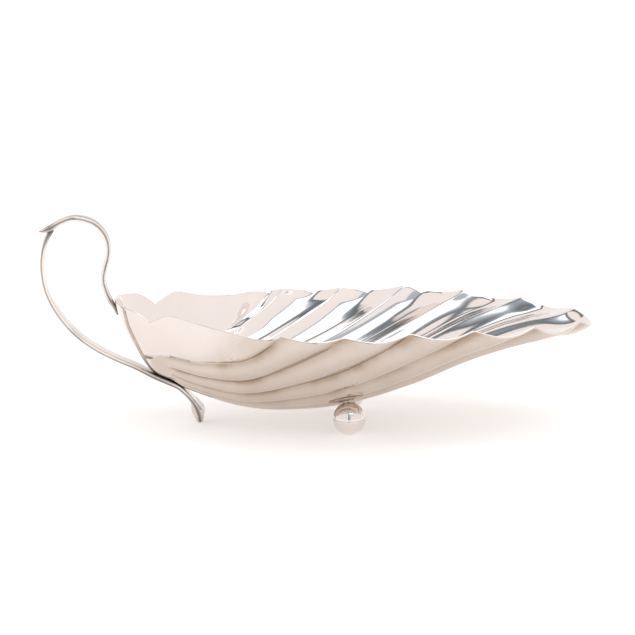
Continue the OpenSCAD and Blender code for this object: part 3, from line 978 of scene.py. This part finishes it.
def foot_bracket(name, centre, ball_top, side):
    """The neck on the ball opens through a soft fillet into a thin leaf on the bowl."""
    root, rim = root_plan(np.array(FOOT_FLUTE))[0], rim_plan(np.array(FOOT_FLUTE))[0]
    foot_v = 1 + (FOOT_STATION - root) / (rim - root)
    angles = np.arange(LEAF_SEGMENTS) * 2 * pi / LEAF_SEGMENTS
    middle = ball_top - BALL_RADIUS

    def ring(radius, height):
        x = centre[0] + radius * np.cos(angles)
        y = abs(centre[1]) + radius * np.sin(angles)
        return np.stack([x, y, np.full(len(angles), height)], -1)

    foot = NECK_FOOT * BALL_RADIUS
    on_ball = [(share * foot, sqrt(BALL_RADIUS**2 - (share * foot) ** 2) + middle)
               for share in ON_BALL_SHARES]
    rings = [ring(r, z + SOLDER_HEIGHT) for r, z in on_ball]
    rings.append(ring(FILLET_SHARE * foot, ball_top - FILLET_DROP))
    rings.append(ring(NECK_WAIST * BALL_RADIUS, ball_top + WAIST_RISE))
    for share, thick in LEAF_RINGS:
        rings.append(on_plate(foot_v, angles, share, thick * PLATE_THICKNESS))
    rings = [r * np.array([1, side, 1]) for r in rings]
    points = np.concatenate(rings + [rings[0].mean(0)[None], rings[-1].mean(0)[None]])
    n, faces = len(angles), []
    for j in range(n):
        k = (j + 1) % n
        for i in range(len(rings) - 1):
            faces.append((i * n + j, (i + 1) * n + j, (i + 1) * n + k, i * n + k))
        faces.append((len(points) - 2, j, k))
        faces.append((len(points) - 1, (len(rings) - 1) * n + k, (len(rings) - 1) * n + j))
    mesh = mesh_from(name, points * MM, faces)
    turned_outward(mesh)
    piece = new_object(name, mesh)
    mesh.materials.append(solder_silver)
    round_off = piece.modifiers.new("soft edges", "SUBSURF")
    round_off.levels = round_off.render_levels = 1
    return piece


for hand, side in (("left", 1), ("right", -1)):
    top_low, top_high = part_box(f"{hand}_ball_top")
    centre = ((top_low.x + top_high.x) / 2 / MM, (top_low.y + top_high.y) / 2 / MM)
    seam_height = top_low.z / MM
    for top, part in ((True, "top"), (False, "base")):
        profile = ball_profile(top, seam_height)
        piece = lathed(f"{hand}_foot_{part}", profile, centre)
        piece.data.materials.append(foot_silver)
        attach(piece, "root")
        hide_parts(f"{hand}_ball_{part}")
    piece = foot_bracket(f"{hand}_foot_leaf", centre, top_high.z / MM, side)
    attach(piece, "root")
    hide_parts(f"{hand}_foot_bracket")


# ------------------------------------------------------------------ studio
PAPER_DARK = (0.70, 0.705, 0.71, 1)
PAPER_PALE = (0.72, 0.725, 0.73, 1)
PAPER_GLOW = (1.0, 0.96, 0.93, 1)
GLOW_STRENGTH = 0.45


def paper():
    """White paper, faintly mottled, which glows a little so that shadows stay soft."""
    material = bpy.data.materials.new("white_paper")
    material.use_nodes = True
    material.node_tree.nodes.clear()
    tree = Tree(material.node_tree)
    place = tree.add("ShaderNodeTexCoord", None, None, "Object")
    mottle = tree.add("ShaderNodeTexNoise", None, {"Vector": place, "Scale": 14.0, "Detail": 3.0})
    shader = tree.add("ShaderNodeBsdfPrincipled", None, {
        "Base Color": tree.mix(mottle, PAPER_DARK, PAPER_PALE), "Roughness": 0.9,
        "Emission Color": PAPER_GLOW, "Emission Strength": GLOW_STRENGTH})
    tree.add("ShaderNodeOutputMaterial", None, {"Surface": shader})
    return material


FLOOR_HALF = 3.0
floor_corners = [(-FLOOR_HALF, -FLOOR_HALF, 0), (FLOOR_HALF, -FLOOR_HALF, 0),
                 (FLOOR_HALF, FLOOR_HALF, 0), (-FLOOR_HALF, FLOOR_HALF, 0)]
floor_mesh = mesh_from("studio_floor", floor_corners, [(0, 1, 2, 3)])
floor_mesh.materials.append(paper())
floor = new_object("studio_floor", floor_mesh)


# The soft box and its grey frame, on a ceiling one unit up: places right of the dish, and away
BOX_LEFT = -0.05
FRAME_LEFT = -0.19
BOX_RIGHT = 1.0
BOX_AWAY = (-1.12, 0.33)
NEAR_FRAME = 0.3
FAR_FRAME = 0.22
# Both left edges slant from here on, each by its own slope
SLANT_FROM = -0.2
BOX_SLANT = 0.44
FRAME_SLANT = 0.35
# In the near part, the right edge steps in to a slanting line
STEP_AWAY = (-0.35, -0.1)
NEAR_RIGHT = 0.19
NEAR_RIGHT_SLANT = 0.48
# How soft each edge is
LEFT_EDGE = (-0.04, 0.03)
RIGHT_EDGE = (-0.02, 0.02)
NEAR_SOFTNESS = 0.03
FAR_SOFTNESS = 0.06
FRAME_SOFTNESS = 0.02
FRAME_RIGHT = (0.05, 0.1)
SLIT_SOFTNESS = 0.03
FRAME_FADE = 0.14
WALL_FADE = 0.7
BOX_LIGHT = (1.7, 1.74, 1.78, 1)
FRAME_DARK = (0.12, 0.145, 0.165, 1)
FRAME_PALE = (0.46, 0.54, 0.60, 1)
# The walls, from the floor up, and the dark slit between them in front of the dish
WALL_LOW = (1.0, 0.965, 0.945, 1)
WALL_HIGH = (0.96, 0.92, 0.905, 1)
SLIT = (-0.13, 0.17)
SLIT_TOP = (0.72, 0.78)
WHITE = (1, 1, 1, 1)
# The lowest slope that is divided by, near the horizon
LEVEL = 0.02


def studio_world():
    """Pale walls with a slit in front, and a dim ceiling that holds one bright soft box."""
    world = bpy.data.worlds.new("studio")
    world.use_nodes = True
    world.node_tree.nodes.clear()
    tree = Tree(world.node_tree)
    x, y, z = tree.parts(tree.add("ShaderNodeTexCoord", None, None, "Generated"))
    right, away = x / z.at_least(LEVEL), y / z.at_least(LEVEL)

    def between(value, low, high, soft):
        return value.ramp(low - soft, low + soft) * (1 - value.ramp(high - soft, high + soft))

    slant = (away - SLANT_FROM).at_least(0)
    from_box = right - (BOX_LEFT - slant * BOX_SLANT)
    from_frame = right - (FRAME_LEFT - slant * FRAME_SLANT)
    step = away.ramp(*STEP_AWAY)
    beyond = right - ((NEAR_RIGHT - away * NEAR_RIGHT_SLANT) * (1 - step) + step * BOX_RIGHT)
    near, far = BOX_AWAY
    soft_box = (from_box.ramp(*LEFT_EDGE) * (1 - beyond.ramp(*RIGHT_EDGE))
                * away.ramp(near - NEAR_SOFTNESS, near + NEAR_SOFTNESS)
                * (1 - away.ramp(far - FAR_SOFTNESS, far + FAR_SOFTNESS)))
    ceiling = (from_frame.ramp(-FRAME_SOFTNESS, FRAME_SOFTNESS) * (1 - beyond.ramp(*FRAME_RIGHT))
               * between(away, near - NEAR_FRAME, far + FAR_FRAME, FRAME_SOFTNESS))
    in_slit = between(x / (-y).at_least(LEVEL), *SLIT, SLIT_SOFTNESS)
    slit = in_slit * (1 - z.ramp(*SLIT_TOP)) * (y < 0)
    # the dark frame is palest beside the box
    glow = from_frame.ramp(0, FRAME_FADE) * (1 - away.ramp(far, far + FAR_FRAME))
    frame_tone = tree.mix(glow, FRAME_DARK, FRAME_PALE)
    walls = tree.mix(z.ramp(0.0, WALL_FADE), WALL_LOW, WALL_HIGH)
    room = tree.mix(ceiling.at_least(slit), walls, frame_tone)
    lit = tree.mix(soft_box, room, BOX_LIGHT)
    seen = tree.add("ShaderNodeLightPath", None, None, "Is Camera Ray")
    light = tree.add("ShaderNodeBackground", None,
                     {"Color": tree.mix(seen, lit, WHITE), "Strength": 1.0})
    tree.add("ShaderNodeOutputWorld", None, {"Surface": light})
    bpy.context.scene.world = world


studio_world()


# ------------------------------------------------------------------ camera
# How far the camera stands above the level, its distance in metres, and what it aims at: x, z
CAMERA_RISE = radians(11)
CAMERA_DISTANCE = 1.43
CAMERA_AIM = (0.0002, 0.0443)
LENS = 194.9
SENSOR_WIDTH = 36
camera_data = bpy.data.cameras.new("camera")
camera_data.lens = LENS
camera_data.sensor_width = SENSOR_WIDTH
camera = bpy.data.objects.new("camera", camera_data)
bpy.context.scene.collection.objects.link(camera)
camera.location = (CAMERA_AIM[0], -CAMERA_DISTANCE * cos(CAMERA_RISE),
                   CAMERA_AIM[1] + CAMERA_DISTANCE * sin(CAMERA_RISE))
camera.rotation_euler = (pi / 2 - CAMERA_RISE, 0, 0)
bpy.context.scene.camera = camera
bpy.context.scene.view_settings.view_transform = "Standard"
